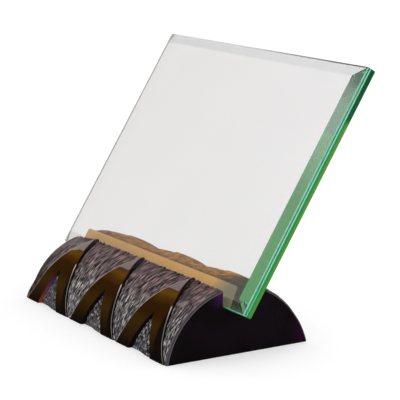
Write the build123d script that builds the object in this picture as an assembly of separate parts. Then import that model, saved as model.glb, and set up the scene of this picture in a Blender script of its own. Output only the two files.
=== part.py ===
from build123d import *
import os
from math import acos, asin, cos, degrees, radians, sin

# Photo frame: two glass panes lean in the slot of a moulded dark glass base.
# Millimetres. Origin at the centre of the underside, +X along the base, +Y to the back, +Z up.

# Base casting
motif_pitch = 49.2          # length of one arched motif
motif_count = 3
base_depth = 78.0           # front to back on the table
arch_height = 32.6          # crown of the end arch, if it weren't slotted
lobe_drop = 0.9             # crease between two rear lobes, inside the arch
lobe_rise = 1.1             # crown of a rear lobe, outside the arch
rear_land_drop = 1.6        # flat land behind the slot, below the crown of the arch

# Arched band of one motif, drawn in a plane that faces the barrel's skin at mid height:
# half widths, and distances down from the tip or up from the feet
band_view_angle = 45.0      # tilt of that plane's normal from the vertical
shoulder_half_width = 10.5
shoulder_drop = 19.4
waist_half_width = 17.7
waist_height = 9.2
flare_half_width = 21.3
flare_height = 3.4
band_foot_gap = 0.8         # between the feet of neighbouring bands
window_drop = 25.3          # apex of the sunk triangle between the legs, below the tip
window_half_width = 10.8    # at the feet
window_depth = 1.6
tip_rise = 1.6              # band's face above the barrel at the tip
foot_rise = 0.5             # and at the foot
rear_band_rise = 0.7

# Panes
pane_width = 180.0
pane_height = 130.0
front_edge = 1.7            # thickness left at the front pane's bevelled edge
bevel_depth = 2.6
bevel_width = 6.4
rear_pane_thickness = 3.0
rear_pane_arris = 0.3
print_gap = 0.25            # room for a print between the panes
lean = 32.1                 # backward lean from the vertical

# Slot and its liner
seat_y = -3.3               # lower rear edge of the rear pane, from the middle of the base
seat_depth = 11.65          # that edge below the crown of the arch
liner_thickness = 0.8
liner_corner = 1.6
pane_clearance = 0.1        # between a pane and its seat
slot_front_clearance = 0.9  # in front of the front pane's thin edge
liner_lip_gap = 0.2         # liner's top below the slot's rear lip

# What follows from them
base_length = motif_pitch * motif_count
arch_radius = (base_depth**2 / 4 + arch_height**2) / (2 * arch_height)
axis_z = arch_height - arch_radius
barrel_axis = Axis((0, 0, axis_z), (1, 0, 0))
seat_z = arch_height - seat_depth
rear_land_height = arch_height - rear_land_drop
lean_sin = sin(radians(lean))
lean_cos = cos(radians(lean))
reach = 2 * (base_depth + arch_height)


def motif_centres():
    """X of each motif's middle."""
    return [(k - (motif_count - 1) / 2) * motif_pitch for k in range(motif_count)]


def along(up, front):
    """Point in the YZ plane, from the rear pane's lower rear edge: up the lean, then to the front."""
    return (
        seat_y + up * lean_sin - front * lean_cos,
        seat_z + up * lean_cos + front * lean_sin,
    )


def slot_section():
    """Section of the slot: a floor square to the panes, a rear wall along them, an upright front wall."""
    behind = pane_clearance + liner_thickness
    ahead = rear_pane_thickness + print_gap + front_edge + slot_front_clearance
    rear = along(-pane_clearance, -behind)
    rear_top = along(reach, -behind)
    floor_front = along(-pane_clearance, ahead)
    return [rear, rear_top, (floor_front[0], rear_top[1]), floor_front]


def lip_angle():
    """Angle from the vertical of the barrel's skin at the slot's front lip."""
    return degrees(asin(-slot_section()[3][0] / arch_radius))


def ground_angle():
    """Angle from the vertical at which the barrel's skin meets the table."""
    return degrees(acos(-axis_z / arch_radius))


def band_level(angle, rise):
    """Level in the band's plane of a point at an angle from the vertical, by its rise over the barrel."""
    return (arch_radius + rise) * sin(radians(band_view_angle - angle))


def front_barrel(offset, shift=0.0):
    """Plain barrel of the front, grown by offset and moved by shift towards the slot's front lip."""
    centre = (-shift * sin(radians(lip_angle())), axis_z + shift * cos(radians(lip_angle())))
    with BuildPart() as barrel:
        with BuildSketch(Plane.YZ):
            with Locations(centre):
                Circle(arch_radius + offset)
        extrude(amount=base_length / 2, both=True)
    return barrel.part


def rear_barrel(offset):
    """Barrel of the rear: one convex lobe for each motif, grown by offset."""
    crease = axis_z + arch_radius - lobe_drop + offset
    crown = axis_z + arch_radius + lobe_rise + offset
    end = base_length / 2
    with BuildPart() as barrel:
        with BuildSketch(Plane.XZ):
            with BuildLine():
                Polyline((-end, crease), (-end, axis_z), (end, axis_z), (end, crease))
                for x in motif_centres():
                    ThreePointArc(
                        (x - motif_pitch / 2, crease),
                        (x, crown),
                        (x + motif_pitch / 2, crease),
                    )
            make_face()
        revolve(axis=barrel_axis)
    return barrel.part


def half_space(front):
    """Block over the table plane, in front of the barrel's middle or behind it."""
    side = -1 if front else 1
    return Pos(0, side * reach / 2, reach / 2) * Box(reach, reach, reach)


def motif_prism(front, outline):
    """Prisms of an outline for every motif on one side, through the barrel's skin."""
    side = -1 if front else 1
    normal = (0, side * sin(radians(band_view_angle)), cos(radians(band_view_angle)))
    with BuildPart() as prism:
        with BuildSketch(Plane(origin=(0, 0, axis_z), x_dir=(-side, 0, 0), z_dir=normal)):
            for x in motif_centres():
                with BuildLine(Pos(-side * x, 0)):
                    outline()
                make_face()
        extrude(amount=2 * arch_radius)
    return prism.part


def band_outline():
    """Pointed arch from the tip at the slot's lip to the two feet, and on below the table."""
    tip = band_level(lip_angle(), tip_rise)
    foot = band_level(ground_angle(), foot_rise)
    foot_half_width = (motif_pitch - band_foot_gap) / 2
    bottom = foot - arch_height
    for s in (1, -1):
        shoulder = (s * shoulder_half_width, tip - shoulder_drop)
        waist = (s * waist_half_width, foot + waist_height)
        flare = (s * flare_half_width, foot + flare_height)
        end = (s * foot_half_width, foot)
        ThreePointArc((0, tip), shoulder, waist)
        ThreePointArc(waist, flare, end)
        Line(end, (s * foot_half_width, bottom))
    Line((foot_half_width, bottom), (-foot_half_width, bottom))


def window_outline():
    """Triangle between the legs, and on below the table."""
    apex = band_level(lip_angle(), tip_rise) - window_drop
    foot = band_level(ground_angle(), foot_rise)
    bottom = foot - arch_height
    half_width = window_half_width * (apex - bottom) / (apex - foot)
    Polyline((0, apex), (half_width, bottom), (-half_width, bottom), close=True)


def base_casting():
    """Moulded glass base: barrel, lobes, bands and windows, ground flat underneath and slotted."""
    swing = 1 - cos(radians(ground_angle() - lip_angle()))
    shift = (tip_rise - foot_rise) / swing
    band_face = front_barrel(tip_rise - shift, shift)
    front = half_space(True)
    rear = half_space(False)
    body = front_barrel(0) & front
    bands = motif_prism(True, band_outline) & band_face & front
    windows = (motif_prism(True, window_outline) & front) - front_barrel(-window_depth)
    body = body + bands - windows
    back = rear_barrel(0) & rear
    bands = motif_prism(False, band_outline) & rear_barrel(rear_band_rise) & rear
    windows = (motif_prism(False, window_outline) & rear) - rear_barrel(-window_depth)
    back = back + bands - windows
    land = Pos(0, reach / 2, rear_land_height + reach / 2) * Box(reach, reach, reach)
    slot = extrude(Plane.YZ * Polygon(*slot_section(), align=None), base_length, both=True)
    return body + (back - land) - slot


def lean_plane(front):
    """Plane along the panes through a pane's rear face: X along the base, Y up the lean, Z to the front."""
    y, z = along(0, front)
    return Plane(origin=(0, y, z), x_dir=(1, 0, 0), z_dir=(0, -lean_cos, lean_sin))


def slot_liner():
    """Soft strip along the slot's rear wall, which the panes lean on."""
    floor = along(-pane_clearance, -pane_clearance)
    height = (rear_land_height - floor[1]) / lean_cos - liner_lip_gap
    plane = lean_plane(-pane_clearance - liner_thickness)
    with BuildPart() as liner:
        with BuildSketch(plane):
            with Locations((0, height / 2 - pane_clearance)):
                Rectangle(base_length, height)
        extrude(amount=liner_thickness)
        top_corners = liner.edges().filter_by(Axis(plane.origin, plane.z_dir)).sort_by(Axis.Z)[-2:]
        fillet(top_corners, liner_corner)
    return liner.part


def rear_pane():
    """Plain back pane with eased edges."""
    plane = lean_plane(0)
    with BuildPart() as pane:
        with BuildSketch(plane):
            with Locations((0, pane_height / 2)):
                Rectangle(pane_width, pane_height)
        extrude(amount=rear_pane_thickness)
        chamfer(pane.edges(), rear_pane_arris)
    return pane.part


def front_pane():
    """Front pane, bevelled all round its front face."""
    plane = lean_plane(rear_pane_thickness + print_gap)
    edge_plane = plane.offset(front_edge)
    face_plane = edge_plane.offset(bevel_depth)
    with BuildPart() as pane:
        with BuildSketch(plane):
            with Locations((0, pane_height / 2)):
                Rectangle(pane_width, pane_height)
        extrude(amount=front_edge)
        with BuildSketch(edge_plane):
            with Locations((0, pane_height / 2)):
                Rectangle(pane_width, pane_height)
        with BuildSketch(face_plane):
            with Locations((0, pane_height / 2)):
                Rectangle(pane_width - 2 * bevel_width, pane_height - 2 * bevel_width)
        loft(ruled=True)
    return pane.part


nodes = {
    "base_casting": base_casting(),
    "slot_liner": slot_liner(),
    "rear_pane": rear_pane(),
    "front_pane": front_pane(),
}
os.makedirs("parts", exist_ok=True)
for name, solid in nodes.items():
    export_step(solid, f"parts/{name}.step")
    print(name, len(solid.solids()), round(solid.volume), solid.bounding_box())
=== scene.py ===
import math

import bpy
import numpy as np
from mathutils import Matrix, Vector, noise


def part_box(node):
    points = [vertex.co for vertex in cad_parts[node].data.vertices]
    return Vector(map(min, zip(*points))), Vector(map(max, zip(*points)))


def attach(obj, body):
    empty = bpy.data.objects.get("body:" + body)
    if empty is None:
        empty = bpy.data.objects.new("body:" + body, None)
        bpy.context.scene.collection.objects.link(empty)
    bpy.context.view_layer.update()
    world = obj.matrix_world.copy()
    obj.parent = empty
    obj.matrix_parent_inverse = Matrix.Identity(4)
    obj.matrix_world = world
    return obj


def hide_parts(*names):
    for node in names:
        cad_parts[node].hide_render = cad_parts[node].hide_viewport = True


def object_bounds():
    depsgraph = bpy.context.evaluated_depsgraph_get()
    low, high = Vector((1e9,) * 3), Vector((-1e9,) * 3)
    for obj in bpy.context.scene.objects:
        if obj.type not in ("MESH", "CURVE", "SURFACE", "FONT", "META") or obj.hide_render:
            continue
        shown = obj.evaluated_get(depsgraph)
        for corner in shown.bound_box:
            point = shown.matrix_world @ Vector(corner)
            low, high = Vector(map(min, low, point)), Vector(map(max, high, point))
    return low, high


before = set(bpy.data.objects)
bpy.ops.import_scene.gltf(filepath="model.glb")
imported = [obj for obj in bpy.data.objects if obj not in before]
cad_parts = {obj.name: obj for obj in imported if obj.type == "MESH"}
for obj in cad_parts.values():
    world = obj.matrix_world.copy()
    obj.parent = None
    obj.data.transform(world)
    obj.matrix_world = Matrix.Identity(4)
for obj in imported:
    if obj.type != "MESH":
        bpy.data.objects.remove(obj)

cad_low, cad_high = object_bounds()

# Metres. Same frame as the part: origin under the middle of the base,
# +X along it, +Y to the back, +Z up.
MM = 0.001

# Base casting
base_low, base_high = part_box("base_casting")
base_length = base_high.x - base_low.x
half_length = base_length * 0.5
motif_count = 3
motif_pitch = base_length / motif_count
half_pitch = motif_pitch * 0.5
base_depth = 78.0 * MM
arch_height = 32.6 * MM
lobe_drop = 0.9 * MM         # crease between two rear lobes, inside the arch
lobe_rise = 1.1 * MM         # crown of a rear lobe, outside the arch
rear_land_drop = 1.6 * MM
arch_radius = (base_depth**2 / 4 + arch_height**2) / (2 * arch_height)
axis_z = arch_height - arch_radius
rear_land_height = arch_height - rear_land_drop
end_chamfer = 0.9 * MM
end_margin = 0.5 * MM        # smooth skin next to the chamfer
left_sag = 2.1 * MM          # front skin falls away towards the left end
sag_fade = 0.3               # radians over which it does so above the table
sag_power = 1.5              # how late it does so along the outer motif
rear_sag = 1.9 * MM          # land and rear skin fall too, all along
end_grow = 0.65 * MM         # rear skin stands out towards the two ends
end_foot_grow = 2.0 * MM     # and more at the table
end_foot_angle = math.radians(57)
least_height = 0.02 * MM     # of the front skin above its foot
land_edge = 2.5 * MM         # rear skin that has the land's finish, below it
base_crease = math.radians(55)
weld_gap = 0.001 * MM

# Arched band of one motif, in a plane that faces the skin at mid height
band_view_angle = math.radians(45)
shoulder_half_width = 10.5 * MM
shoulder_drop = 19.4 * MM
waist_half_width = 17.7 * MM
waist_height = 9.2 * MM
flare_half_width = 21.3 * MM
flare_height = 3.4 * MM
band_foot_gap = 0.8 * MM
tip_rise = 1.6 * MM
foot_rise = 0.5 * MM
rear_band_rise = 0.7 * MM
band_swell = 0.4 * MM        # outline of the pressed band outside the drawn one
swell_fade = 8 * MM          # height over the feet at which it is full
flank_least = 0.3 * MM       # width of a band's flank, and what it gains with the band's rise
flank_slope = 0.65
crown_width = 0.6 * MM       # rounded margin of a band's face
crown_drop = 0.1 * MM
upper_steps, lower_steps = 24, 16    # points along the two arcs of a band's edge

# Sunk triangle between a band's legs
window_drop = 25.3 * MM
window_half_width = 10.8 * MM
window_depth = 0.8 * MM      # at the apex
window_foot_depth = 1.7 * MM
window_wall = 0.6 * MM
flush_share = 0.85           # how much shallower it is beside the right leg's foot
flush_start = 0.55           # share of its height at which that begins
flush_shift = 0.4            # share of its half width left of its middle at which it begins
flush_least = 0.1            # least share of its height that its width is taken at

# Rough fields. Strokes fan out from a point below the table, under each gore between two bands.
bark_depth = 0.4 * MM
lip_bark_depth = 0.9 * MM    # next to the slot's front lip
lip_reach = 0.12             # radians over which the bark grows deeper towards the lip
bark_fade = 0.9 * MM         # from full bark to none beside a band
bark_limit = 0.7
coarse_share, fine_share = 0.6, 0.5  # of the two noises in the bark, and in the stipple
stipple_depth = 0.3 * MM
stipple_start = 0.3 * MM     # from a window's edge
stipple_fade = 0.5 * MM
stipple_dark = 0.5           # how much darker than the bark its grain is
fan_root = 24 * MM
fan_reach = 46.0             # mm from the fan's point at which strokes have their drawn width
stroke_size = (1.0, 9.0)     # width and length in mm: strokes, ticks, grit, flecks
tick_size = (0.55, 4.0)
grit_size = (0.9, 3.0)
fleck_size = (0.6, 1.6)
scratch_width = 0.47         # scratches of the finish: on the gores, and in the windows
window_scratch_size = (0.5, 1.9)
scratch_low = 2.5            # scratch length in mm at the table, and its gain per mm up the skin
scratch_gain = 0.085

# Where the noise of each gore, motif, side and layer is cut, and its gain
gore_step, motif_step, rear_cut = 7, 9, 50.0
window_cut, tick_cut, grit_cut, fleck_cut = 5, 20, 60, 80
noise_gain = 1.6

# Shades of the bands: a painted dark reflection on one leg, painted glints on the crests
last_dark_reach = 0.95       # share of the leg with the painted dark reflection that is dark at its foot, on the last motif
dark_reach = 0.6             # and on the others
dark_fade = 0.16
glint_fade = 1.5 * MM         # painted glint on the crest below the shoulder
glint_loss = 0.75
glint_reach = 0.35
far_glint = 0.45              # painted glint of the crest on the other leg
least_leg = 1 * MM
crest_reach = 4              # mm to either side of the crest that the finish knows of

# Panes and slot
pane_width = 180.0 * MM
pane_height = 130.0 * MM
front_edge = 1.7 * MM
bevel_depth = 2.3 * MM
bevel_width = 6.4 * MM
side_bevel_width = 5.65 * MM
rear_pane_thickness = 3.0 * MM
front_pane_arris = 0.4 * MM
rear_pane_arris = 0.3 * MM
print_gap = 0.25 * MM
edge_gap = 0.05 * MM         # what is left of it at the panes' edges
lean = math.radians(32.1)
lean_sin, lean_cos = math.sin(lean), math.cos(lean)
seat_y = -3.3 * MM
seat_depth = 11.65 * MM
seat_z = arch_height - seat_depth
pane_low = seat_y * lean_sin + seat_z * lean_cos     # up the lean, from the origin
pane_back = seat_z * lean_sin - seat_y * lean_cos    # square to the panes
liner_thickness = 0.8 * MM
liner_corner = 1.6 * MM
liner_ease = 0.15 * MM
liner_crease = math.radians(40)
liner_sharp = math.radians(60)       # edges that are eased
pane_clearance = 0.1 * MM
slot_front_clearance = 0.9 * MM
liner_lip_gap = 0.2 * MM
glass_ior = 1.52

# Rows of the sheet that wraps the base, and columns across half a motif:
# window, its wall, band, flank, rough field
front_rows = 116
wall_rows = 3
slot_floor_rows = 2
land_rows = 4
rear_rows = 72
under_rows = 6
rear_start = front_rows + 2 * wall_rows + slot_floor_rows + land_rows
rear_stop = rear_start + rear_rows
column_runs = (9, 3, 11, 5, 38)
half_columns = sum(column_runs)
column_reach = 1.12          # columns go a little past the band's outline
least_floor, least_wall = 0.25 * MM, 0.08 * MM   # least widths of the column runs
least_band, least_field = 0.2 * MM, 0.1 * MM
settle_rounds = 8            # passes that fit the rear's columns to its lobes

# Material slots of the base, and of a pane
relief_slot, polished_slot, land_slot = range(3)
clear_slot, arris_slot, edge_slot, other_arris_slot = range(4)

# Camera and light
camera_azimuth = math.radians(58.45)
camera_elevation = math.radians(11.48)
camera_place = (0.7165, -0.4155, 0.2294)
camera_lens = 151.7
camera_sensor = 36
run_depth = 8                # bounces after which a ray has run along inside a pane
most_bounces = 64
floor_size = 12


def enter(mode):
    """Object or edit mode of the active object."""
    bpy.ops.object.mode_set(mode=mode)


def pick_nothing():
    """Object mode with nothing selected."""
    if bpy.context.object and bpy.context.object.mode != "OBJECT":
        enter("OBJECT")
    bpy.ops.object.select_all(action="DESELECT")


def pick(piece):
    """Object mode with one piece selected."""
    pick_nothing()
    piece.select_set(True)
    bpy.context.view_layer.objects.active = piece


def added(name):
    """The object just added, with its name."""
    piece = bpy.context.object
    piece.name = name
    return piece


def along(up, front):
    """Y and Z of a point from the rear pane's lower rear edge: up the lean, then to the front."""
    return (
        seat_y + up * lean_sin - front * lean_cos,
        seat_z + up * lean_cos + front * lean_sin,
    )


def slot_corners():
    """Slot section: front lip, floor front, floor rear, rear lip."""
    behind = pane_clearance + liner_thickness
    ahead = rear_pane_thickness + print_gap + front_edge + slot_front_clearance
    floor_rear = along(-pane_clearance, -behind)
    floor_front = along(-pane_clearance, ahead)
    rise = (rear_land_height - floor_rear[1]) / lean_cos
    rear_lip = along(rise - pane_clearance, -behind)
    front_lip = (floor_front[0], axis_z + math.sqrt(arch_radius**2 - floor_front[0] ** 2))
    return front_lip, floor_front, floor_rear, rear_lip


lip_angle = math.asin(-slot_corners()[0][0] / arch_radius)
ground_angle = math.acos(-axis_z / arch_radius)


def band_level(angle, rise):
    """Level in the band's plane of a point at an angle from the vertical."""
    return (arch_radius + rise) * np.sin(band_view_angle - angle)


band_tip = band_level(lip_angle, tip_rise)
band_foot = band_level(ground_angle, foot_rise)
window_apex = band_tip - window_drop
window_slope = window_half_width / (window_apex - band_foot)
shoulder_level = band_tip - shoulder_drop


def arc_through(a, b, c, steps):
    """Points on the circle from a through b to c."""
    (ax, ay), (bx, by), (cx, cy) = a, b, c
    d = 2 * (ax * (by - cy) + bx * (cy - ay) + cx * (ay - by))
    sa, sb, sc = ax * ax + ay * ay, bx * bx + by * by, cx * cx + cy * cy
    ox = (sa * (by - cy) + sb * (cy - ay) + sc * (ay - by)) / d
    oy = (sa * (cx - bx) + sb * (ax - cx) + sc * (bx - ax)) / d
    radius = math.hypot(ax - ox, ay - oy)
    start, end = math.atan2(ay - oy, ax - ox), math.atan2(cy - oy, cx - ox)
    turn = (end - start + math.pi) % (2 * math.pi) - math.pi
    angles = start + turn * np.linspace(0, 1, steps)
    return np.stack([ox + radius * np.cos(angles), oy + radius * np.sin(angles)], 1)


def band_edge():
    """Right edge of the arched band, from the tip to the foot and on below the table."""
    tip = (0, band_tip)
    shoulder = (shoulder_half_width, shoulder_level)
    waist = (waist_half_width, band_foot + waist_height)
    flare = (flare_half_width, band_foot + flare_height)
    foot = ((motif_pitch - band_foot_gap) / 2, band_foot)
    upper = arc_through(tip, shoulder, waist, upper_steps)
    lower = arc_through(waist, flare, foot, lower_steps)
    below = np.array([[foot[0], band_foot - arch_height]])
    return np.concatenate([upper, lower[1:], below])


band_line = band_edge()


def edge_distance(across, level, line):
    """Distance of each point to a line of points."""
    best = np.full(across.shape, 1.0)
    for (ax, ay), (bx, by) in zip(line[:-1], line[1:]):
        dx, dy = bx - ax, by - ay
        t = np.clip(((across - ax) * dx + (level - ay) * dy) / (dx * dx + dy * dy), 0, 1)
        best = np.minimum(best, np.hypot(across - ax - t * dx, level - ay - t * dy))
    return best


def ease(t):
    """Smooth step from 0 to 1."""
    t = np.clip(t, 0, 1)
    return t * t * (3 - 2 * t)


def between(low, high, share):
    """Value at a share of the way from one to another."""
    return low + (high - low) * share


def noise_field(*coordinates):
    """Smooth noise from about -1 to 1 at each point of three coordinate fields."""
    points = np.stack([np.broadcast_to(c, coordinates[0].shape) for c in coordinates], -1)
    values = [noise.noise(Vector(p)) for p in points.reshape(-1, 3)]
    return np.array(values).reshape(coordinates[0].shape) * noise_gain


def band_half_width(level):
    """Half width of the drawn band at a level."""
    return np.interp(level, band_line[::-1, 1], band_line[::-1, 0])


def band_rise(angle, front):
    """Height of a band's face over the plain skin."""
    if not front:
        return np.full(angle.shape, rear_band_rise)
    down = np.clip((angle - lip_angle) / (ground_angle - lip_angle), 0, 1)
    return between(foot_rise, tip_rise, 1 - down)


def swell(level):
    """How far the pressed band stands outside its drawn outline; nothing at the feet."""
    return band_swell * np.clip((level - band_foot) / swell_fade, 0, 1)


def flank_width(rise):
    """Width of a band's sloping flank."""
    return flank_least + flank_slope * rise


def half_motif_places(angle, front):
    """Distance of half a motif's columns from its middle; they follow the outlines."""
    level = band_level(angle, 0)
    half_width = band_half_width(level) + swell(level) * column_reach
    window = np.maximum(window_slope * (window_apex - level), 0)
    flank = flank_width(band_rise(angle, front)) * column_reach
    wall = window_wall * math.hypot(1, window_slope)
    floor_edge = np.maximum(window - wall, least_floor)
    window_edge = np.maximum(window, floor_edge + least_wall)
    top_edge = np.maximum(half_width - flank, window_edge + least_band)
    foot_edge = np.maximum(half_width, top_edge + least_band)
    foot_edge = np.minimum(foot_edge, half_pitch - least_field)
    edges = [0 * level, floor_edge, window_edge, top_edge, foot_edge, 0 * level + half_pitch]
    places = np.empty(level.shape)
    column = 0
    for run, low, high in zip(column_runs, edges[:-1], edges[1:]):
        for k in range(run):
            i = column + k
            places[:, i] = low[:, i] + (high[:, i] - low[:, i]) * k / run
        column += run
    places[:, column] = edges[-1][:, column]
    return places


def rough_fields(x, across, motif, climb, front):
    """Bark of the gores, stipple of the windows, and where the scratches of each are drawn."""
    side = 0.0 if front else rear_cut
    gore = across - np.sign(across) * half_pitch
    gore_cut = np.round((x - gore) / motif_pitch * 2) * gore_step + side
    motif_cut = motif * motif_step + side
    reach = np.hypot(gore, climb + fan_root) / MM
    sweep = np.arctan2(gore, climb + fan_root) * fan_reach
    up = np.maximum(reach - fan_root / MM, 0)
    run = np.log(1 + scratch_gain / scratch_low * up) / scratch_gain
    strokes = noise_field(sweep / stroke_size[0], reach / stroke_size[1], gore_cut)
    ticks = noise_field(sweep / tick_size[0], reach / tick_size[1], gore_cut + tick_cut)
    end_room = half_length - np.abs(x)
    bark = np.clip(coarse_share * strokes + fine_share * ticks, -bark_limit, bark_limit)
    bark = bark * ease(end_room / end_margin)
    wide, high = across / MM, climb / MM
    grit = noise_field(wide / grit_size[0], high / grit_size[1], motif_cut + grit_cut)
    fleck = noise_field(wide / fleck_size[0], high / fleck_size[1], motif_cut + fleck_cut)
    stipple = coarse_share * grit + fine_share * fleck
    gore_scratch = (sweep * np.sqrt(reach / fan_reach) / scratch_width, run, gore_cut)
    window_scratch = (
        wide / window_scratch_size[0],
        high / window_scratch_size[1],
        motif_cut + window_cut,
    )
    return bark, stipple, gore_scratch, window_scratch


def relief(x, angle, front):
    """Height over the plain skin, and the fields that the finish reads."""
    motif = np.clip(np.floor((x + half_length) / motif_pitch), 0, motif_count - 1)
    across = x + half_length - (motif + 0.5) * motif_pitch
    level = band_level(angle, 0)
    climb = arch_radius * (ground_angle - angle)
    inside = edge_distance(np.abs(across), level, band_line)
    inside = np.where(np.abs(across) < band_half_width(level), inside, -inside) + swell(level)
    window = (window_slope * (window_apex - level) - np.abs(across)) / math.hypot(1, window_slope)
    bark, stipple, gore_scratch, window_scratch = rough_fields(x, across, motif, climb, front)

    # bark, then the band over it, then the window in the band
    top = band_rise(angle, front)
    flank = flank_width(top)
    wall = np.clip(inside / flank, 0, 1)
    sink = np.clip(window / window_wall, 0, 1)
    bark_share = 1 - ease((inside + bark_fade) / bark_fade)
    near_lip = ease((climb / arch_radius - (ground_angle - lip_angle)) / lip_reach + 1)
    height = bark * between(bark_depth, lip_bark_depth, near_lip) * bark_share
    margin = np.clip(1 - (inside - flank) / crown_width, 0, 1)
    height = between(height, top - crown_drop * margin**2, ease(wall))
    depth = window_depth
    if front:
        down = np.clip((window_apex - level) / (window_apex - band_foot), 0, 1)
        to_right = ease(across / (window_half_width * np.maximum(down, flush_least)) + flush_shift)
        flush = flush_share * to_right * ease((down - flush_start) / (1 - flush_start))
        depth = between(window_depth, window_foot_depth, down) * (1 - flush)
    floor = -depth + stipple * stipple_depth * ease((window - stipple_start) / stipple_fade)
    height = between(height, floor, ease(sink))

    # a painted dark reflection takes the amber's place towards the outer side of one leg, and a
    # painted glint runs down the crest from the shoulder
    leg_inner = np.maximum(window_slope * (window_apex - level), 0)
    leg_outer = band_half_width(level) - flank
    over = (np.abs(across) - leg_inner) / np.maximum(leg_outer - leg_inner, least_leg)
    below_shoulder = np.clip((shoulder_level - level) / (shoulder_level - band_foot), 0, 1)
    painted_dark_side = across > 0 if front else across < 0
    dark = np.where(motif == motif_count - 1, last_dark_reach, dark_reach) * below_shoulder
    worn = ease((shoulder_level - level) / glint_fade)
    worn = worn * (1 - glint_loss * ease(below_shoulder / glint_reach))

    in_window = window > stipple_start
    fields = {
        "band": np.minimum(wall, 1 - sink),
        "crest": np.clip((inside - flank) / MM, -crest_reach, crest_reach),
        "worn": np.where(painted_dark_side, worn, far_glint),
        "amber": 1 - np.where(painted_dark_side, ease((over - 1 + dark) / dark_fade), 0),
        "shade": np.where(painted_dark_side | (inside > flank), 1.0, 0.0),
        "grain": np.where(in_window, stipple - stipple_dark, bark),
        "stroke": np.stack(
            [np.where(in_window, a, b) for a, b in zip(window_scratch, gore_scratch)], -1
        ),
    }
    return height, fields


def base_columns(half):
    """X of all columns from those of half a motif, in rows."""
    motif = np.concatenate([-half[:, :0:-1], half[:, :-1]], 1)
    centres = (np.arange(motif_count) - (motif_count - 1) / 2) * motif_pitch
    x = np.concatenate([c + motif for c in centres], 1)
    return np.concatenate([x, np.full((len(x), 1), half_length)], 1)


def base_spread(part):
    """Values of half a motif, in rows, for all columns."""
    motif = np.concatenate([part[:, :0:-1], part[:, :-1]], 1)
    return np.concatenate([motif] * motif_count + [part[:, -1:]], 1)


def rear_fall(x):
    """Share of its drawn height that the rear keeps, less towards the left end."""
    return 1 - rear_sag / rear_land_height * np.clip(0.5 - x / base_length, 0, 1)


def front_skin():
    """Places and finish fields of the front skin's rows, from the table up to the slot."""
    t = np.linspace(0, 1, front_rows + 1)[:, None]
    angle = between(ground_angle, lip_angle, t) + np.zeros(half_columns + 1)
    x = base_columns(half_motif_places(angle, True))
    angle = angle[:, :1] + 0 * x
    height, fields = relief(x, angle, True)
    outer_motif = np.clip((-x - motif_pitch) / half_pitch, 0, 1)
    sag = left_sag * outer_motif**sag_power * ease((ground_angle - angle) / sag_fade)
    radius = arch_radius + height - sag
    y = np.maximum(-radius * np.sin(angle), cad_low.y)
    z = np.maximum(axis_z + radius * np.cos(angle), least_height)
    z[0] = 0
    y[-1] = slot_corners()[0][0]
    return x, y, z, fields


def rear_skin():
    """Places and finish fields of the rear skin's rows, from the land down to the table."""
    sagitta = lobe_drop + lobe_rise
    lobe_radius = (half_pitch**2 + sagitta**2) / (2 * sagitta)
    t = np.linspace(0, 1, rear_rows + 1)[:, None]
    half = np.linspace(0, half_pitch, half_columns + 1) + 0 * t
    for _ in range(settle_rounds):
        lobe = arch_radius + lobe_rise - lobe_radius + np.sqrt(lobe_radius**2 - half**2)
        start = np.arccos((rear_land_height - axis_z) / lobe)
        angle = between(start, np.arccos(-axis_z / lobe), t)
        half = half_motif_places(angle, False)
    x = base_columns(half)
    lobe, angle = base_spread(lobe), base_spread(angle)
    height, fields = relief(x, angle, False)
    to_end = ease((np.abs(x) - motif_pitch) / half_pitch)
    to_foot = np.clip((angle - end_foot_angle) / (ground_angle - end_foot_angle), 0, 1)
    radius = lobe + height + between(end_grow, end_foot_grow, to_foot) * to_end
    y, z = radius * np.sin(angle), axis_z + radius * np.cos(angle)
    z = np.minimum(z, rear_land_height) * rear_fall(x)
    z[-1] = 0
    return x, y, z, fields


def base_section_grid():
    """Places and finish fields of every row and column of the sheet that wraps the base."""
    front_lip, floor_front, floor_rear, rear_lip = slot_corners()
    zero = np.zeros(2 * half_columns * motif_count + 1)
    rows = []

    def add(x, y, z, fields=None, k=0):
        row_fields = {name: field[k] for name, field in (fields or {}).items()}
        rows.append((x, y + zero, z + zero, row_fields))

    front_x, front_y, front_z, fields = front_skin()
    for k in range(front_rows + 1):
        add(front_x[k], front_y[k], front_z[k], fields, k)
    rear_x, rear_y, rear_z, fields = rear_skin()

    # slot and land
    slot_x, lip_z = front_x[-1], front_z[-1]
    land_fall = rear_land_height * (1 - rear_fall(slot_x))
    rear_lip = (rear_lip[0] - land_fall * math.tan(lean), rear_lip[1] - land_fall)
    for start, stop, steps in (
        ((front_lip[0], lip_z), floor_front, wall_rows),
        (floor_front, floor_rear, slot_floor_rows),
        (floor_rear, rear_lip, wall_rows),
    ):
        for t in np.linspace(0, 1, steps + 1)[1:]:
            add(slot_x, between(start[0], stop[0], t), between(start[1], stop[1], t))
    for t in np.linspace(0, 1, land_rows + 1)[1:-1]:
        land_x = between(slot_x, rear_x[0], t)
        add(land_x, between(rear_lip[0], rear_y[0], t), rear_land_height * rear_fall(land_x))
    for k in range(rear_rows + 1):
        add(rear_x[k], rear_y[k], rear_z[k], fields, k)

    # underside, back to the start
    for t in np.linspace(0, 1, under_rows + 1)[1:]:
        add(between(rear_x[-1], front_x[0], t), between(rear_y[-1], front_y[0], t), 0)
    x, y, z = [np.stack(part) for part in list(zip(*rows))[:3]]
    sheet = {
        name: np.stack([row[3].get(name, np.zeros_like(field[0])) for row in rows])
        for name, field in fields.items()
    }
    shrink = 1 - 2 * end_chamfer / base_length
    return end_rims(x * shrink, y, z, sheet)


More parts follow.
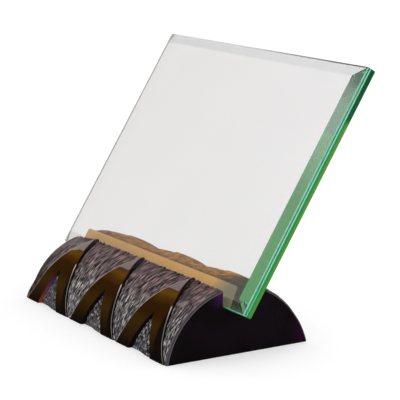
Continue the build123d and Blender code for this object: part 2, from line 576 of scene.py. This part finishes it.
def end_rims(x, y, z, sheet):
    """One more column at each end, at the end face, with the skin chamfered."""
    skin = np.zeros(len(x), bool)
    skin[: front_rows + 1] = True
    skin[rear_start : rear_stop + 1] = True
    ends = []
    for i, rim_x in ((0, -half_length), (-1, half_length)):
        away = np.hypot(y[:, i], z[:, i] - axis_z)
        cut = np.where(skin, (away - end_chamfer) / away, 1)
        cut_z = np.where(z[:, i] > 0, axis_z + (z[:, i] - axis_z) * cut, 0)
        ends.append((np.full((len(x), 1), rim_x), (y[:, i] * cut)[:, None], cut_z[:, None]))
    x, y, z = [
        np.concatenate([low, part, high], 1)
        for low, part, high in zip(ends[0], (x, y, z), ends[1])
    ]
    sheet = {
        name: np.concatenate([field[:, :1], field, field[:, -1:]], 1)
        for name, field in sheet.items()
    }
    return x, y, z, sheet


def shaded_piece(piece, crease):
    """Smooth shading, but for edges sharper than a crease."""
    pick(piece)
    bpy.ops.object.shade_smooth_by_angle(angle=crease)


def turn_outward():
    """Normals of the mesh in edit mode face out."""
    bpy.ops.mesh.select_all(action="SELECT")
    bpy.ops.mesh.normals_make_consistent(inside=False)


def take_finishes(piece, *finishes):
    """Material slots of a piece, in order."""
    for finish in finishes:
        piece.data.materials.append(finish)


def base_finishes(mesh, x, z):
    """Slot of each face: relief on the skins, amber on the land and the slot's rear wall."""
    row_count, column_count = z.shape
    middle = np.empty(len(mesh.polygons) * 3)
    mesh.polygons.foreach_get("center", middle)
    middle = middle.reshape(-1, 3)
    face_row = (middle[:, 1] + 0.5) * (row_count - 1)
    face_column = ((middle[:, 0] + 0.5) * (column_count - 1)).astype(int)
    rear = (face_row > rear_start) & (face_row < rear_stop)
    skin = (face_row < front_rows) | rear
    lower_row = np.ceil(face_row).astype(int)
    near_land = rear_land_height * rear_fall(x[lower_row, face_column]) - land_edge
    land = (face_row > rear_start - land_rows - wall_rows) & (face_row < rear_start)
    land |= rear & (z[lower_row, face_column] > near_land)
    slots = np.where(skin, relief_slot, polished_slot)
    return np.where(land, land_slot, slots).astype(np.int32)


def moulded_base():
    """Base casting: a sheet wrapped round the section, closed under the base and at both ends."""
    x, y, z, sheet = base_section_grid()
    row_count, column_count = y.shape
    pick_nothing()
    bpy.ops.mesh.primitive_grid_add(
        x_subdivisions=column_count - 1, y_subdivisions=row_count - 1, size=1
    )
    base = added("moulded_base")
    mesh = base.data
    place = np.empty(len(mesh.vertices) * 3)
    mesh.vertices.foreach_get("co", place)
    place = place.reshape(-1, 3)
    column = np.rint((place[:, 0] + 0.5) * (column_count - 1)).astype(int)
    row = np.rint((place[:, 1] + 0.5) * (row_count - 1)).astype(int)
    wrapped = np.stack([x[row, column], y[row, column], z[row, column]], 1)
    slots = base_finishes(mesh, x, z)
    mesh.vertices.foreach_set("co", wrapped.ravel())
    for name, field in sheet.items():
        kind, key = ("FLOAT_VECTOR", "vector") if field.ndim == 3 else ("FLOAT", "value")
        attribute = mesh.attributes.new(name, kind, "POINT")
        attribute.data.foreach_set(key, field[row, column].astype(np.float32).ravel())
    take_finishes(base, relief_glass(), polished_glass(), amber_land())
    mesh.polygons.foreach_set("material_index", slots)
    mesh.update()

    enter("EDIT")
    bpy.ops.mesh.select_all(action="SELECT")
    bpy.ops.mesh.remove_doubles(threshold=weld_gap)
    bpy.ops.mesh.fill_holes(sides=0)
    turn_outward()
    enter("OBJECT")
    shaded_piece(base, base_crease)

    # crisp rims round the two end faces
    for face in mesh.polygons:
        face.select = len(face.vertices) > 4
        if face.select:
            face.material_index = polished_slot
    enter("EDIT")
    bpy.ops.mesh.select_mode(type="FACE")
    bpy.ops.mesh.region_to_loop()
    bpy.ops.mesh.mark_sharp()
    enter("OBJECT")
    return base


def lean_back(piece, front):
    """Stands a piece drawn flat, up along +Y and front along +Z, in the slot."""
    y, z = along(0, front)
    piece.rotation_euler = (math.pi / 2 - lean, 0, 0)
    piece.location = (0, y, z)
    pick(piece)
    bpy.ops.object.transform_apply(location=True, rotation=True, scale=True)


def glass_sheet(name, thickness):
    """Sheet of pane size, drawn flat from its lower edge; in edit mode, front face selected."""
    pick_nothing()
    bpy.ops.mesh.primitive_plane_add(size=1)
    sheet = added(name)
    enter("EDIT")
    bpy.ops.mesh.select_all(action="SELECT")
    bpy.ops.transform.resize(value=(pane_width, pane_height, 1))
    bpy.ops.transform.translate(value=(0, pane_height / 2, 0))
    bpy.ops.mesh.extrude_region_move(TRANSFORM_OT_translate={"value": (0, 0, thickness)})
    return sheet


def bevel_chosen(piece, chosen, offset, segments):
    """Bevels the edges that a test on their two ends picks, and stays in edit mode."""
    bpy.ops.mesh.select_all(action="DESELECT")
    enter("OBJECT")
    mesh = piece.data
    for edge in mesh.edges:
        edge.select = chosen(*(mesh.vertices[i].co for i in edge.vertices))
    enter("EDIT")
    bpy.ops.mesh.select_mode(type="EDGE")
    bpy.ops.mesh.bevel(offset=offset, offset_type="OFFSET", segments=segments, affect="EDGES")


def ease_edges(sheet, thickness, arris):
    """Narrow arris round the sheet's outer edge."""
    outer = thickness + 0.1 * MM
    turn_outward()
    bevel_chosen(sheet, lambda a, b: a.z < outer and b.z < outer, arris, segments=1)
    enter("OBJECT")


def edge_faces(pane, widest):
    """Edge faces of a pane drawn flat, with their widths."""
    vertices = pane.data.vertices
    for face in pane.data.polygons:
        corners = [vertices[i].co for i in face.vertices]
        longest = max((a - b).length for a, b in zip(corners, corners[1:] + corners[:1]))
        width = face.area / longest
        if width < widest:
            yield face, width


def bevelled_front_pane():
    """Front pane. Its left edge is clear, or the right bevel would mirror it as dark specks."""
    pane = glass_sheet("bevelled_front_pane", front_edge)
    bpy.ops.mesh.inset(thickness=bevel_width, depth=bevel_depth, use_even_offset=True)
    face_stretch = (pane_width - 2 * side_bevel_width) / (pane_width - 2 * bevel_width)
    bpy.ops.transform.resize(value=(face_stretch, 1, 1))
    ease_edges(pane, front_edge, front_pane_arris)
    take_finishes(
        pane,
        float_glass("front_pane_glass", density=7.0, tint=(0.28, 0.755, 0.49), top_shade=0.87),
        ground_arris(),
        cut_edge(),
        top_arris(),
    )
    for face, width in edge_faces(pane, front_edge):
        if face.center.x < front_pane_arris - pane_width / 2:
            face.material_index = clear_slot
        elif width > 2 * front_pane_arris:
            face.material_index = edge_slot
        else:
            at_top = face.center.y > pane_height - front_pane_arris
            face.material_index = other_arris_slot if at_top else arris_slot
    lean_back(pane, rear_pane_thickness + print_gap)
    return pane


def plain_rear_pane():
    """Rear pane, which almost meets the front one."""
    thickness = rear_pane_thickness + print_gap - edge_gap
    pane = glass_sheet("plain_rear_pane", thickness)
    ease_edges(pane, thickness, rear_pane_arris)
    take_finishes(
        pane,
        float_glass("rear_pane_glass", density=12.0, tint=(0.29, 0.665, 0.17)),
        deep_arris(),
        rear_edge(),
        ground_arris(),
    )
    for face, width in edge_faces(pane, thickness):
        if width > 2 * rear_pane_arris:
            face.material_index = edge_slot
        else:
            at_front = face.center.z > thickness / 2
            face.material_index = other_arris_slot if at_front else arris_slot
    lean_back(pane, 0)
    return pane


def leather_liner():
    """Strip along the slot's rear wall with two rounded top corners and eased edges."""
    floor = along(-pane_clearance, -pane_clearance)
    height = (rear_land_height - floor[1]) / lean_cos - liner_lip_gap
    pick_nothing()
    bpy.ops.mesh.primitive_cube_add(size=1)
    liner = added("leather_liner")
    enter("EDIT")
    bpy.ops.mesh.select_all(action="SELECT")
    bpy.ops.transform.resize(value=(base_length, height, liner_thickness))
    bpy.ops.transform.translate(value=(0, height / 2 - pane_clearance, liner_thickness / 2))

    def top_corner(a, b):
        return abs(a.z - b.z) > liner_thickness / 2 and a.y > height / 2

    bevel_chosen(liner, top_corner, liner_corner, segments=6)
    bpy.ops.mesh.select_all(action="DESELECT")
    bpy.ops.mesh.edges_select_sharp(sharpness=liner_sharp)
    bpy.ops.mesh.bevel(offset=liner_ease, offset_type="OFFSET", segments=2, affect="EDGES")
    turn_outward()
    enter("OBJECT")
    lean_back(liner, -pane_clearance - liner_thickness)
    shaded_piece(liner, liner_crease)
    take_finishes(liner, tan_leather())
    return liner


class NodeKit:
    """Adds nodes to a tree. A colour is a tuple; helpers give back an output to link on."""

    def __init__(self, tree):
        self.tree = tree

    def feed(self, socket, value):
        """Links an output to a socket, or sets the socket's own value."""
        if isinstance(value, bpy.types.NodeSocket):
            self.tree.links.new(value, socket)
        elif isinstance(value, tuple) and len(socket.default_value) == 4:
            socket.default_value = (*value, 1)
        else:
            socket.default_value = value

    def set(self, node, **inputs):
        """Feeds inputs of a node by name."""
        for key, value in inputs.items():
            self.feed(node.inputs[key.replace("_", " ")], value)

    def node(self, kind, **inputs):
        """New node."""
        made = self.tree.nodes.new(kind)
        self.set(made, **inputs)
        return made

    def place(self, kind="Object"):
        """Coordinates of a shaded point."""
        return self.node("ShaderNodeTexCoord").outputs[kind]

    def axes(self, place):
        """X, Y and Z of a place."""
        apart = self.node("ShaderNodeSeparateXYZ", Vector=place)
        return apart.outputs["X"], apart.outputs["Y"], apart.outputs["Z"]

    def noise(self, place, scale, detail):
        """Cloudy noise."""
        made = self.node("ShaderNodeTexNoise", Vector=place, Scale=scale, Detail=detail)
        return made.outputs["Fac"]

    def math(self, operation, a, b=0.0):
        """Result of an operation on one or two numbers."""
        made = self.node("ShaderNodeMath")
        made.operation = operation
        self.feed(made.inputs[0], a)
        self.feed(made.inputs[1], b)
        return made.outputs["Value"]

    def spread(self, value, low, high, to_low=0.0, to_high=1.0):
        """Number carried from one range to another and held at its ends."""
        return self.node(
            "ShaderNodeMapRange",
            Value=value, From_Min=low, From_Max=high, To_Min=to_low, To_Max=to_high,
        ).outputs["Result"]

    def blend(self, share, low, high, kind="MIX", data="RGBA"):
        """Mix of two colours, or of two numbers, by a share."""
        mix = self.node("ShaderNodeMix")
        mix.data_type, mix.blend_type = data, kind
        self.set(mix, Factor=share, A=low, B=high)
        return mix.outputs["Result"]

    def ramp(self, value, stops):
        """Colour of a number, from a list of place and colour."""
        made = self.node("ShaderNodeValToRGB", Fac=value)
        keys = made.color_ramp.elements
        while len(keys) < len(stops):
            keys.new(0.5)
        for key, (place, colour) in zip(keys, stops):
            key.position = place
            key.color = (*colour, 1)
        return made.outputs["Color"]


def new_finish(name):
    """Material, its shader and its node kit."""
    finish = bpy.data.materials.new(name)
    finish.use_nodes = True
    return finish, finish.node_tree.nodes["Principled BSDF"], NodeKit(finish.node_tree)


def relief_glass():
    """Pressed glass of the skins: amber bands and walls with painted light and shade, rough fields.
    """
    finish, shader, kit = new_finish("relief_glass")
    x, _, z = kit.axes(kit.place())
    climb = kit.spread(z, 0.0, arch_height)

    def field(name, output="Fac"):
        read = kit.node("ShaderNodeAttribute")
        read.attribute_name = name
        return read.outputs[output]

    # rough fields: a grain of strokes whose bright parts are painted highlights, redder and darker
    # up the skin
    scratch = kit.noise(field("stroke", "Vector"), 1.0, 2.0)
    grain = kit.spread(field("grain"), -1.0, 1.0)
    rough = kit.ramp(kit.blend(0.88, grain, scratch, data="FLOAT"), [
        (0.41, (0.006, 0.004, 0.006)),
        (0.49, (0.056, 0.047, 0.052)),
        (0.545, (0.205, 0.194, 0.204)),
        (0.62, (0.76, 0.75, 0.78)),
    ])
    warmth = kit.ramp(climb, [
        (0.0, (0.97, 0.97, 1.0)),
        (0.55, (0.97, 0.9, 0.86)),
        (0.92, (0.6, 0.345, 0.33)),
    ])
    rough = kit.blend(1.0, rough, warmth, "MULTIPLY")
    rough = kit.blend(kit.spread(climb, 0.55, 0.95, 0.0, 0.22), rough, (0.08, 0.037, 0.035))

    # browner next to the left end
    end_brown = kit.ramp(climb, [
        (0.0, (0.026, 0.011, 0.002)),
        (0.35, (0.035, 0.016, 0.006)),
        (0.6, (0.07, 0.042, 0.045)),
        (0.9, (0.11, 0.07, 0.078)),
    ])
    brown_start, brown_full = 20 * MM - half_length, 5 * MM - half_length
    rough = kit.blend(kit.spread(x, brown_start, brown_full, 0.0, 0.8), rough, end_brown)

    # smooth margin and chamfer at the two ends, with painted highlight lines along them
    beside = kit.math("ABSOLUTE", x)
    rim_start = half_length - end_chamfer - end_margin
    painted_rim_highlights = kit.ramp(kit.spread(beside, rim_start, half_length), [
        (0.0, (0.04, 0.034, 0.04)),
        (0.3, (0.2, 0.18, 0.19)),
        (0.45, (0.05, 0.043, 0.05)),
        (0.85, (0.07, 0.06, 0.07)),
        (0.95, (0.16, 0.145, 0.155)),
    ])
    rim_fade = 0.4 * MM
    rim = kit.spread(beside, rim_start, rim_start + rim_fade)
    rough = kit.blend(rim, rough, painted_rim_highlights)

    # bands: amber by height, with a painted highlight high on the band
    cloud = kit.noise(kit.place(), 60.0, 3.0)
    face = kit.ramp(kit.blend(0.12, climb, cloud, data="FLOAT"), [
        (0.08, (0.006, 0.003, 0.001)),
        (0.22, (0.018, 0.008, 0.001)),
        (0.42, (0.042, 0.02, 0.002)),
        (0.56, (0.026, 0.009, 0.0006)),
        (0.67, (0.03, 0.01, 0.0006)),
        (0.74, (0.065, 0.025, 0.0015)),
        (0.79, (0.13, 0.055, 0.004)),
        (0.86, (0.05, 0.024, 0.012)),
    ])
    # painted dark reflection in place of the amber on the outer part of one leg
    face = kit.blend(field("amber"), (0.004, 0.0025, 0.003), face)
    # painted glint along the crests
    near_crest = kit.spread(kit.math("ABSOLUTE", field("crest")), 0.14, 0.4, 1.0, 0.0)
    face = kit.blend(kit.math("MULTIPLY", near_crest, field("worn")), face, (0.85, 0.78, 0.72))

    # window walls and flanks: painted shade, black on one side, and painted light coming through
    # the walls at the thin left end
    painted_glow = kit.ramp(climb, [
        (0.0, (0.3, 0.06, 0.012)),
        (0.16, (0.2, 0.04, 0.04)),
        (0.34, (0.11, 0.035, 0.14)),
        (0.55, (0.02, 0.01, 0.022)),
    ])
    thin_end, thin_fade = -motif_pitch, 2 * MM
    painted_glow_share = kit.spread(x, thin_end, thin_end - thin_fade)
    painted_wall_shade_and_glow = kit.blend(painted_glow_share, (0.005, 0.003, 0.005), painted_glow)
    painted_wall_shade_and_glow = kit.blend(field("shade"), (0.1, 0.06, 0.055), painted_wall_shade_and_glow)
    wall = kit.spread(field("band"), 0.0, 0.15)
    top = kit.spread(field("band"), 0.7, 0.95)
    colour = kit.blend(top, kit.blend(wall, rough, painted_wall_shade_and_glow), face)

    smooth = kit.math("MAXIMUM", wall, rim)
    bump = kit.node(
        "ShaderNodeBump",
        Distance=0.0006, Height=scratch, Strength=kit.spread(smooth, 0.0, 1.0, 0.8, 0.0),
    )
    kit.set(
        shader,
        Base_Color=colour,
        Roughness=kit.spread(smooth, 0.0, 1.0, 0.34, 0.05),
        Specular_IOR_Level=0.5,
        Normal=bump.outputs["Normal"],
    )
    return finish


def polished_glass():
    """Near-black glass of the ground ends, slot and underside, with painted purple light where it
    is thin.
    """
    finish, shader, kit = new_finish("polished_glass")
    place = kit.place()
    colour = kit.ramp(kit.noise(place, 45.0, 2.0), [
        (0.35, (0.005, 0.004, 0.004)),
        (0.75, (0.008, 0.005, 0.008)),
    ])
    front_lip = slot_corners()[0]
    # painted purple glow where the glass is thin: at the front lip and low at the back
    for middle, radius, painted_glow in (
        ((0, *front_lip), 11 * MM, (0.075, 0.012, 0.1)),
        ((0, base_depth / 2, 6 * MM), 13 * MM, (0.03, 0.001, 0.025)),
    ):
        reach = kit.node(
            "ShaderNodeMapping",
            Vector=place,
            Location=tuple(-c / radius for c in middle),
            Scale=(0, 1 / radius, 1 / radius),
        )
        fade = kit.node("ShaderNodeTexGradient", Vector=reach.outputs["Vector"])
        fade.gradient_type = "QUADRATIC_SPHERE"
        colour = kit.blend(fade.outputs["Fac"], colour, painted_glow)
    gloss = kit.spread(kit.noise(place, 160.0, 3.0), 0.0, 1.0, 0.1, 0.2)
    kit.set(shader, Base_Color=colour, Roughness=gloss, Specular_IOR_Level=0.15)
    return finish


def amber_land():
    """Ground land behind the slot: matt brown, darker at its right end, with painted shade next to
    the slot.
    """
    finish, shader, kit = new_finish("amber_land")
    place = kit.place()
    x, y, _ = kit.axes(place)
    mottled = kit.ramp(kit.noise(place, 230.0, 4.0), [
        (0.3, (0.09, 0.035, 0.005)),
        (0.48, (0.28, 0.11, 0.009)),
        (0.62, (0.46, 0.2, 0.025)),
        (0.72, (0.62, 0.24, 0.07)),
    ])
    ends = kit.ramp(kit.spread(x, -half_length, half_length), [
        (0.05, (0.8, 0.66, 0.4)),
        (0.3, (1.1, 0.98, 0.6)),
        (0.84, (1.2, 1.12, 0.8)),
        (0.92, (0.1, 0.17, 0.6)),
    ])
    colour = kit.blend(1.0, mottled, ends, "MULTIPLY")
    # painted shade on the land next to the slot
    rear_lip_y = slot_corners()[3][0]
    shade_start, shade_full = rear_lip_y + 5 * MM, rear_lip_y + 1 * MM
    painted_slot_shade = kit.spread(y, shade_start, shade_full)
    colour = kit.blend(painted_slot_shade, colour, (0.5, 0.45, 0.35), "MULTIPLY")
    kit.set(shader, Base_Color=colour, Roughness=0.6, Specular_IOR_Level=0.0)
    return finish


def float_glass(name, density, tint, top_shade=None):
    """Clear float glass, green along its length; a top shade adds painted shade on the top bevel
    and its edge.
    """
    finish, shader, kit = new_finish(name)
    place = kit.place()
    colour = kit.ramp(kit.noise(place, 30.0, 3.0), [
        (0.3, (0.985, 0.968, 0.99)),
        (0.7, (0.995, 0.978, 1.0)),
    ])
    if top_shade:
        x, _, _ = kit.axes(place)
        lean_up = kit.node("ShaderNodeVectorMath")
        lean_up.operation = "DOT_PRODUCT"
        kit.feed(lean_up.inputs[0], place)
        kit.feed(lean_up.inputs[1], (0, lean_sin, lean_cos))
        up = lean_up.outputs["Value"]
        step = 0.2 * MM
        pane_top = pane_low + pane_height
        bevel_start = pane_top - bevel_width
        # painted shade greys the top bevel
        bevel = kit.spread(up, bevel_start, bevel_start + step)
        colour = kit.blend(bevel, colour, (top_shade,) * 3, "MULTIPLY")

        # painted shade: a dark line along the top edge, which grows to the right
        line_width = 0.7 * MM
        line_start = pane_top - front_pane_arris - line_width
        to_right = kit.spread(x, -0.17 * pane_width, 0.42 * pane_width)
        line = kit.math("MULTIPLY", kit.spread(up, line_start, line_start + step), to_right)
        colour = kit.blend(line, colour, (0.22, 0.22, 0.18), "MULTIPLY")
    kit.set(shader, Base_Color=colour, Roughness=0.0, Transmission_Weight=1.0, IOR=glass_ior)
    depth = kit.node("ShaderNodeVolumeAbsorption", Color=tint, Density=density)

    # light reaches the liner behind the panes
    path = kit.node("ShaderNodeLightPath").outputs
    film = kit.node("ShaderNodeBsdfTransparent")
    surface = shader.outputs["BSDF"]
    for ray in ("Is Shadow Ray", "Is Diffuse Ray"):
        lit = kit.node("ShaderNodeMixShader", Fac=path[ray])
        kit.feed(lit.inputs[1], surface)
        kit.feed(lit.inputs[2], film.outputs["BSDF"])
        surface = lit.outputs["Shader"]
    output = finish.node_tree.nodes["Material Output"]
    kit.set(output, Surface=surface, Volume=depth.outputs["Volume"])
    return finish


def painted_light_leftwards(kit, colour):
    """An edge's colour with painted light, almost white towards the panes' left end."""
    x, _, _ = kit.axes(kit.place())
    share = kit.spread(x, -0.42 * pane_width, -0.1 * pane_width)
    return kit.blend(share, (0.74, 0.82, 0.79), colour)


def cut_glass(name, dark, light, grain=(400.0, 2.0), roughness=0.5):
    """Ground or cut edge of a pane: two greens, the scale and detail of its grain."""
    finish, shader, kit = new_finish(name)
    green = kit.ramp(kit.noise(kit.place(), *grain), [(0.3, dark), (0.7, light)])
    kit.set(
        shader,
        Base_Color=painted_light_leftwards(kit, green),
        Roughness=roughness,
        Transmission_Weight=0.2,
        IOR=glass_ior,
    )
    return finish


def ground_arris():
    """Finely ground, pale mint arris, which both panes have."""
    made = bpy.data.materials.get("ground_arris")
    return made or cut_glass("ground_arris", (0.16, 0.7, 0.44), (0.26, 0.88, 0.58))


def deep_arris():
    """Ground edge of the rear pane, bottle green."""
    return cut_glass("deep_arris", (0.025, 0.17, 0.055), (0.045, 0.24, 0.085))


def cut_edge():
    """Cut edge of the front pane, deep sea green."""
    greens = (0.035, 0.25, 0.11), (0.06, 0.34, 0.17)
    return cut_glass("cut_edge", *greens, grain=(120.0, 3.0), roughness=0.25)


def top_arris():
    """Ground edge along the front pane's top, with painted light on the left and painted shade on
    the right.
    """
    finish, shader, kit = new_finish("top_arris")
    x, _, _ = kit.axes(kit.place())
    colour = kit.ramp(kit.spread(x, -pane_width / 2, pane_width / 2), [
        (0.0, (0.8, 0.84, 0.82)),
        (0.45, (0.7, 0.74, 0.72)),
        (0.66, (0.06, 0.05, 0.035)),
        (0.96, (0.03, 0.03, 0.02)),
        (1.0, (0.02, 0.25, 0.14)),
    ])
    kit.set(shader, Base_Color=colour, Roughness=0.4, IOR=glass_ior)
    return finish


def rear_edge():
    """Cut edge of the rear pane: dark teal at the top, then green that turns yellow to the back."""
    finish, shader, kit = new_finish("rear_edge")
    turned = kit.node("ShaderNodeMapping", Vector=kit.place(), Rotation=(lean - math.pi / 2, 0, 0))
    _, up, front = kit.axes(turned.outputs["Vector"])
    across = kit.ramp(kit.spread(front, pane_back, pane_back + rear_pane_thickness), [
        (0.0, (0.1, 0.31, 0.03)),
        (0.35, (0.13, 0.34, 0.035)),
        (0.6, (0.05, 0.32, 0.06)),
        (0.9, (0.014, 0.25, 0.1)),
    ])
    height = kit.ramp(kit.spread(up, pane_low, pane_low + pane_height), [
        (0.0, (0.6, 1.0, 0.9)),
        (0.35, (0.75, 1.0, 0.95)),
        (0.77, (1.0, 1.0, 1.0)),
        (0.8, (0.06, 0.4, 0.65)),
        (0.97, (0.04, 0.3, 0.55)),
    ])
    colour = painted_light_leftwards(kit, kit.blend(1.0, across, height, "MULTIPLY"))
    kit.set(shader, Base_Color=colour, Roughness=0.25, IOR=glass_ior)
    return finish


def tan_leather():
    """Matt tan strip with a fine grain, brighter to the right, with a dull olive right end."""
    finish, shader, kit = new_finish("tan_leather")
    place = kit.place()
    x, _, _ = kit.axes(place)
    mottled = kit.ramp(kit.noise(place, 120.0, 4.0), [
        (0.3, (0.8, 0.385, 0.042)),
        (0.7, (0.9, 0.45, 0.06)),
    ])
    brighter = kit.ramp(kit.spread(x, -half_length, half_length), [
        (0.1, (0.97, 0.95, 0.92)),
        (0.45, (1.1, 1.04, 1.0)),
        (0.85, (1.2, 1.14, 1.08)),
    ])
    colour = kit.blend(1.0, mottled, brighter, "MULTIPLY")
    right_end = kit.spread(x, 0.36 * base_length, 0.46 * base_length)
    colour = kit.blend(right_end, colour, (0.25, 0.22, 0.11))
    pores = kit.node("ShaderNodeTexVoronoi", Vector=place, Scale=2200.0)
    grain = pores.outputs["Distance"]
    bump = kit.node("ShaderNodeBump", Strength=0.3, Distance=0.0002, Height=grain)
    kit.set(shader, Base_Color=colour, Roughness=0.62, Normal=bump.outputs["Normal"])
    return finish


def light_paths(kit):
    """Kinds of ray, then the shares that only mirror and that have run inside a pane."""
    path = kit.node("ShaderNodeLightPath").outputs
    mirrored = kit.math("GREATER_THAN", path["Is Glossy Ray"], path["Is Transmission Ray"])
    run = kit.math("GREATER_THAN", path["Ray Depth"], run_depth)
    return path, mirrored, run


def pale_floor():
    """White paper that keeps the shadow, dimmer in the dark glass and along inside a pane."""
    pick_nothing()
    bpy.ops.mesh.primitive_plane_add(size=floor_size)
    floor = added("pale_floor")
    finish, shader, kit = new_finish("floor_paper")
    path, mirrored, run = light_paths(kit)
    seen = kit.math("MAXIMUM", path["Is Camera Ray"], path["Is Transmission Ray"])
    bright = kit.spread(seen, 0.0, 1.0, 0.97, 0.72)
    shade = kit.spread(mirrored, 0.0, 1.0, bright, 0.03)
    x, _, _ = kit.axes(kit.place())
    dim = kit.ramp(kit.spread(x, -0.3, -0.14), [
        (0.0, (0.86, 0.51, 0.65)),
        (0.1, (0.74, 0.43, 0.52)),
        (0.24, (0.64, 0.4, 0.48)),
        (0.32, (0.48, 0.31, 0.38)),
        (0.42, (0.36, 0.24, 0.3)),
    ])
    kit.set(
        shader,
        Base_Color=kit.blend(run, shade, dim),
        Emission_Color=kit.blend(run, (1.0, 1.0, 1.0), dim),
        Emission_Strength=kit.spread(seen, 0.0, 1.0, 0.0, 0.36),
        Roughness=0.9,
        Specular_IOR_Level=0.0,
    )
    take_finishes(floor, finish)


def left_wall(lit):
    """Area lamp to the left that only glints in what it is linked to."""
    place, target = (-1.0, 0.375, 0.45), (0, 0.375, 0.45)
    pick_nothing()
    bpy.ops.object.light_add(type="AREA", location=place)
    lamp = added("left_wall")
    lamp.data.shape = "RECTANGLE"
    lamp.data.size, lamp.data.size_y = 0.75, 0.86
    lamp.data.energy = 2.5
    lamp.data.color = (1.0, 0.9, 0.95)
    lamp.rotation_euler = (Vector(target) - Vector(place)).to_track_quat("-Z", "Y").to_euler()
    lamp.visible_camera = lamp.visible_transmission = lamp.visible_diffuse = False
    lamp.light_linking.receiver_collection = lit


def studio():
    """Even white light; a warm dim room in the glass, dimmer where light has run in a pane."""
    world = bpy.data.worlds.new("studio_world")
    bpy.context.scene.world = world
    world.use_nodes = True
    world.cycles.sampling_method = "NONE"
    kit = NodeKit(world.node_tree)
    path, mirrored, run = light_paths(kit)
    _, _, height = kit.axes(kit.place("Generated"))
    room = kit.ramp(height, [
        (0.0, (1.0, 1.0, 1.0)),
        (0.19, (0.8, 0.78, 0.73)),
        (0.38, (0.55, 0.5, 0.43)),
    ])
    dim = kit.ramp(height, [
        (0.3, (0.5, 0.52, 0.4)),
        (0.36, (0.45, 0.54, 0.33)),
        (0.395, (0.62, 0.56, 0.46)),
        (0.42, (0.65, 0.54, 0.48)),
        (0.447, (1.1, 0.73, 0.8)),
    ])
    lit_room = kit.blend(mirrored, (0.95, 0.95, 0.95), (0.05, 0.032, 0.018))
    through = kit.blend(path["Is Transmission Ray"], lit_room, kit.blend(run, room, dim))
    final = kit.blend(path["Is Camera Ray"], through, (1.0, 1.0, 1.0))
    kit.set(world.node_tree.nodes["Background"], Color=final)


def photo_camera():
    """Camera at the photograph's place."""
    pick_nothing()
    bpy.ops.object.camera_add(
        location=camera_place,
        rotation=(math.pi / 2 - camera_elevation, 0, camera_azimuth),
    )
    camera = added("photo_camera")
    camera.data.lens = camera_lens
    camera.data.sensor_width = camera_sensor
    camera.data.clip_start, camera.data.clip_end = 0.01, 50
    bpy.context.scene.camera = camera


def dress(piece, body, node):
    """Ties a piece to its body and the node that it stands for."""
    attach(piece, body)
    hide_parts(node)


base = moulded_base()
dress(base, "base", "base_casting")
dress(leather_liner(), "base", "slot_liner")
dress(bevelled_front_pane(), "front_glass", "front_pane")
dress(plain_rear_pane(), "rear_glass", "rear_pane")
pale_floor()
lit_base = bpy.data.collections.new("lit_base")
lit_base.objects.link(base)
studio()
left_wall(lit_base)
photo_camera()

# light runs the panes' whole width inside the glass before it leaves at an edge
paths = bpy.context.scene.cycles
paths.max_bounces = paths.glossy_bounces = paths.transmission_bounces = most_bounces
bpy.context.scene.view_settings.view_transform = "Standard"
